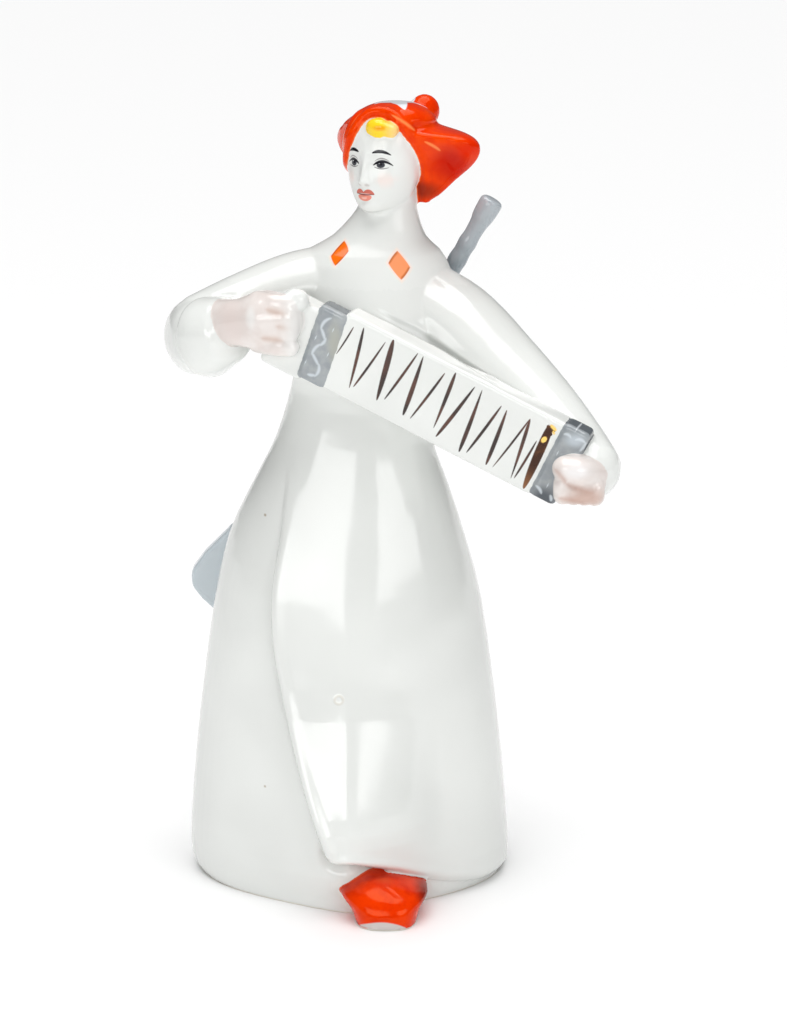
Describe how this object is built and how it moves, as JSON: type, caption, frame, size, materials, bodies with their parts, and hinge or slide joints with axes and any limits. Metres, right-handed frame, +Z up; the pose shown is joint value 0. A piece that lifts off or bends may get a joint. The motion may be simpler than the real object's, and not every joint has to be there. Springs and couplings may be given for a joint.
{
  "type": "porcelain figurine",
  "caption": "Glazed porcelain figurine of an accordion player in a long coat and a pointed cloth cap, with a rifle slung over the back.",
  "frame": {"origin": "middle of the flat underside, on the plane it stands on", "axes": "+Z up, +X to the figure's own left (right as seen from the front), +Y to its back, so it faces -Y"},
  "size_m": [0.1113, 0.0764, 0.1999],
  "materials": {
    "porcelain": "clear gloss glaze over white, hand painted"
  },
  "bodies": {
    "root": {"figurine": "porcelain"}
  },
  "joints": []
}
